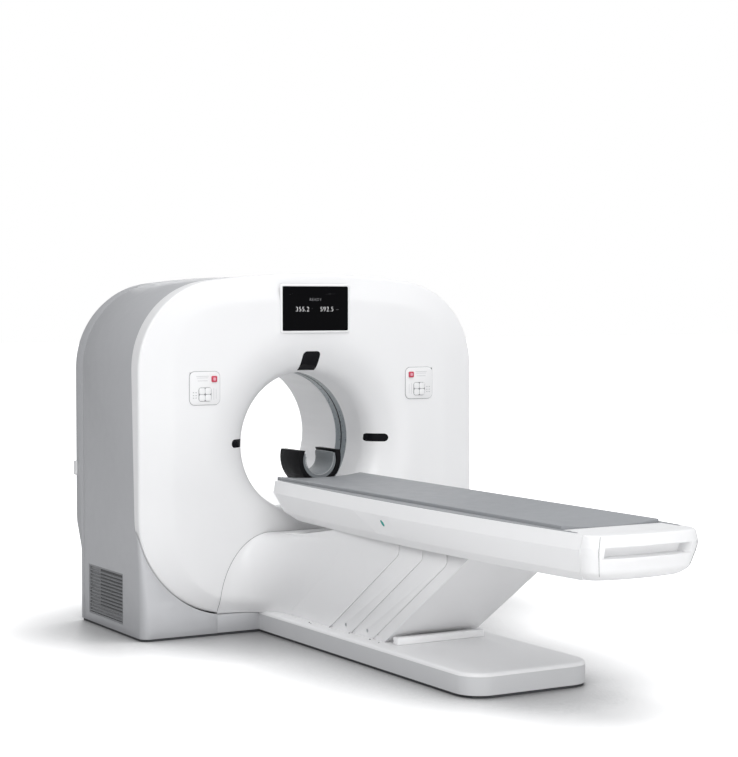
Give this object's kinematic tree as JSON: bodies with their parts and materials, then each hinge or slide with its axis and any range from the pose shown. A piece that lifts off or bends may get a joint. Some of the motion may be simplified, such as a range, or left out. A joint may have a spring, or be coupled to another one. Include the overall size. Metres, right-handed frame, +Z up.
{
  "type": "ct scanner",
  "caption": "Medical CT scanner: round-cornered gantry with a funnel-shaped bore and inner rotor, and a patient table whose cantilevered top slides into the bore above a lifting pedestal.",
  "frame": {"origin": "on the floor, straight below the isocentre (the middle of the scan plane)", "axes": "+X across the gantry to the right of a person facing its front, +Y along the bore from the patient table to the back, +Z up"},
  "size_m": [1.884, 3.5164, 1.76],
  "materials": {
    "painted_steel": "satin",
    "steel": "brushed",
    "cover_white": "smooth",
    "cover_grey": "fine texture",
    "dark_grille": "matte",
    "band_grey": "smooth",
    "dark_film": "gloss",
    "button_red": "gloss",
    "key_grey": "matte",
    "aluminium": "machined",
    "lead_grey": "satin",
    "detector_grey": "satin",
    "copper": "machined",
    "motor_dark": "painted",
    "belt_rubber": "matte",
    "cradle_grey": "matte",
    "holder_black": "matte",
    "cushion_grey": "soft",
    "indicator_teal": "gloss"
  },
  "bodies": {
    "gantry_and_base": {"gantry_base_plate": "painted_steel", "table_base_frame": "painted_steel", "stator_frame": "painted_steel", "bearing_outer_ring": "steel", "base_shafts": "steel", "plate_hinge_pins": "steel", "front_cover": "cover_white", "display_surround": "cover_white", "rear_cover": "cover_white", "transition_cover": "cover_white", "table_base_cover": "cover_white", "foot_rail": "cover_white", "side_cover_left": "cover_grey", "side_cover_right": "cover_grey", "control_panel_left": "cover_grey", "control_panel_right": "cover_grey", "side_grille_left": "dark_grille", "side_grille_right": "dark_grille", "scan_window_band": "band_grey", "display_glass": "dark_film", "laser_window_left": "dark_film", "laser_window_right": "dark_film", "laser_window_top": "dark_film", "power_cabinet": "detector_grey", "brush_block": "detector_grey", "drive_motor": "motor_dark", "lift_gearmotor": "motor_dark", "drive_belt": "belt_rubber"},
    "rotor": {"rotor_disc": "aluminium", "bearing_inner_ring": "steel", "xray_tube": "lead_grey", "collimator": "lead_grey", "detector_arc": "detector_grey", "hv_generator": "aluminium", "tube_cooler": "aluminium", "balance_weight_left": "lead_grey", "balance_weight_right": "lead_grey", "slip_ring": "copper"},
    "motor_wheel": {"motor_pulley": "motor_dark"},
    "foot_side_arm": {"lift_arm_foot_side": "painted_steel"},
    "gantry_side_arm": {"lift_arm_gantry_side": "painted_steel"},
    "second_covers": {"side_plate_2_left": "cover_white", "side_plate_2_right": "cover_white"},
    "third_covers": {"side_plate_3_left": "cover_white", "side_plate_3_right": "cover_white"},
    "sloped_cover": {"sloped_plate": "cover_white"},
    "table": {"table_carrier": "painted_steel", "carrier_shafts": "steel", "table_shell": "cover_white", "table_end_cap": "cover_white", "table_indicator": "indicator_teal"},
    "tabletop": {"cradle": "cradle_grey", "head_holder": "holder_black", "head_cushion": "cushion_grey"},
    "stop_left": {"stop_button_left": "button_red"},
    "stop_right": {"stop_button_right": "button_red"},
    "pad_left": {"key_pad_left": "key_grey"},
    "pad_right": {"key_pad_right": "key_grey"}
  },
  "joints": [
    {"name": "rotor_spin", "type": "hinge", "parent": "gantry_and_base", "child": "rotor", "pos_m": [0, 0.072, 0.917], "axis": [0, 1, 0], "continuous": true},
    {"name": "motor_spin", "type": "hinge", "parent": "gantry_and_base", "child": "motor_wheel", "pos_m": [0.716, 0.072, 0.19], "axis": [0, 1, 0], "continuous": true},
    {"name": "lift_swing", "type": "hinge", "parent": "gantry_and_base", "child": "foot_side_arm", "pos_m": [0, -1, 0.136], "axis": [-1, 0, 0], "range_deg": [-0.8, 12.5]},
    {"name": "gantry_side_arm_swing", "type": "hinge", "parent": "gantry_and_base", "child": "gantry_side_arm", "pos_m": [0, -0.75, 0.136], "axis": [-1, 0, 0], "range_deg": [-0.9, 12.6]},
    {"name": "table_levelling", "type": "hinge", "parent": "foot_side_arm", "child": "table", "pos_m": [0, -1.7088, 0.60515], "axis": [-1, 0, 0], "range_deg": [-12.6, 0.9]},
    {"name": "second_cover_swing", "type": "hinge", "parent": "gantry_and_base", "child": "second_covers", "pos_m": [0, -1.096, 0.136], "axis": [-1, 0, 0], "range_deg": [-0.9, 12.6]},
    {"name": "third_cover_swing", "type": "hinge", "parent": "gantry_and_base", "child": "third_covers", "pos_m": [0, -1.283, 0.136], "axis": [-1, 0, 0], "range_deg": [-0.9, 12.6]},
    {"name": "sloped_cover_swing", "type": "hinge", "parent": "gantry_and_base", "child": "sloped_cover", "pos_m": [0, -1.364, 0.136], "axis": [-1, 0, 0], "range_deg": [-0.9, 12.6]},
    {"name": "tabletop_slide", "type": "slide", "parent": "table", "child": "tabletop", "axis": [0, 1, 0], "range_m": [0, 1.6]},
    {"name": "stop_left_push", "type": "slide", "parent": "gantry_and_base", "child": "stop_left", "axis": [0, 1, 0], "range_m": [0, 0.004], "stiffness_N_per_m": 400},
    {"name": "pad_left_push", "type": "slide", "parent": "gantry_and_base", "child": "pad_left", "axis": [0, 1, 0], "range_m": [0, 0.0015], "stiffness_N_per_m": 400},
    {"name": "stop_right_push", "type": "slide", "parent": "gantry_and_base", "child": "stop_right", "axis": [0, 1, 0], "range_m": [0, 0.004], "stiffness_N_per_m": 400},
    {"name": "pad_right_push", "type": "slide", "parent": "gantry_and_base", "child": "pad_right", "axis": [0, 1, 0], "range_m": [0, 0.0015], "stiffness_N_per_m": 400}
  ],
  "couplings": [
    {"joint": "motor_spin", "follows": "rotor_spin", "ratio": 13.247},
    {"joint": "gantry_side_arm_swing", "follows": "lift_swing", "ratio": 1},
    {"joint": "table_levelling", "follows": "lift_swing", "ratio": -1},
    {"joint": "second_cover_swing", "follows": "lift_swing", "ratio": 1},
    {"joint": "third_cover_swing", "follows": "lift_swing", "ratio": 1},
    {"joint": "sloped_cover_swing", "follows": "lift_swing", "ratio": 1}
  ]
}
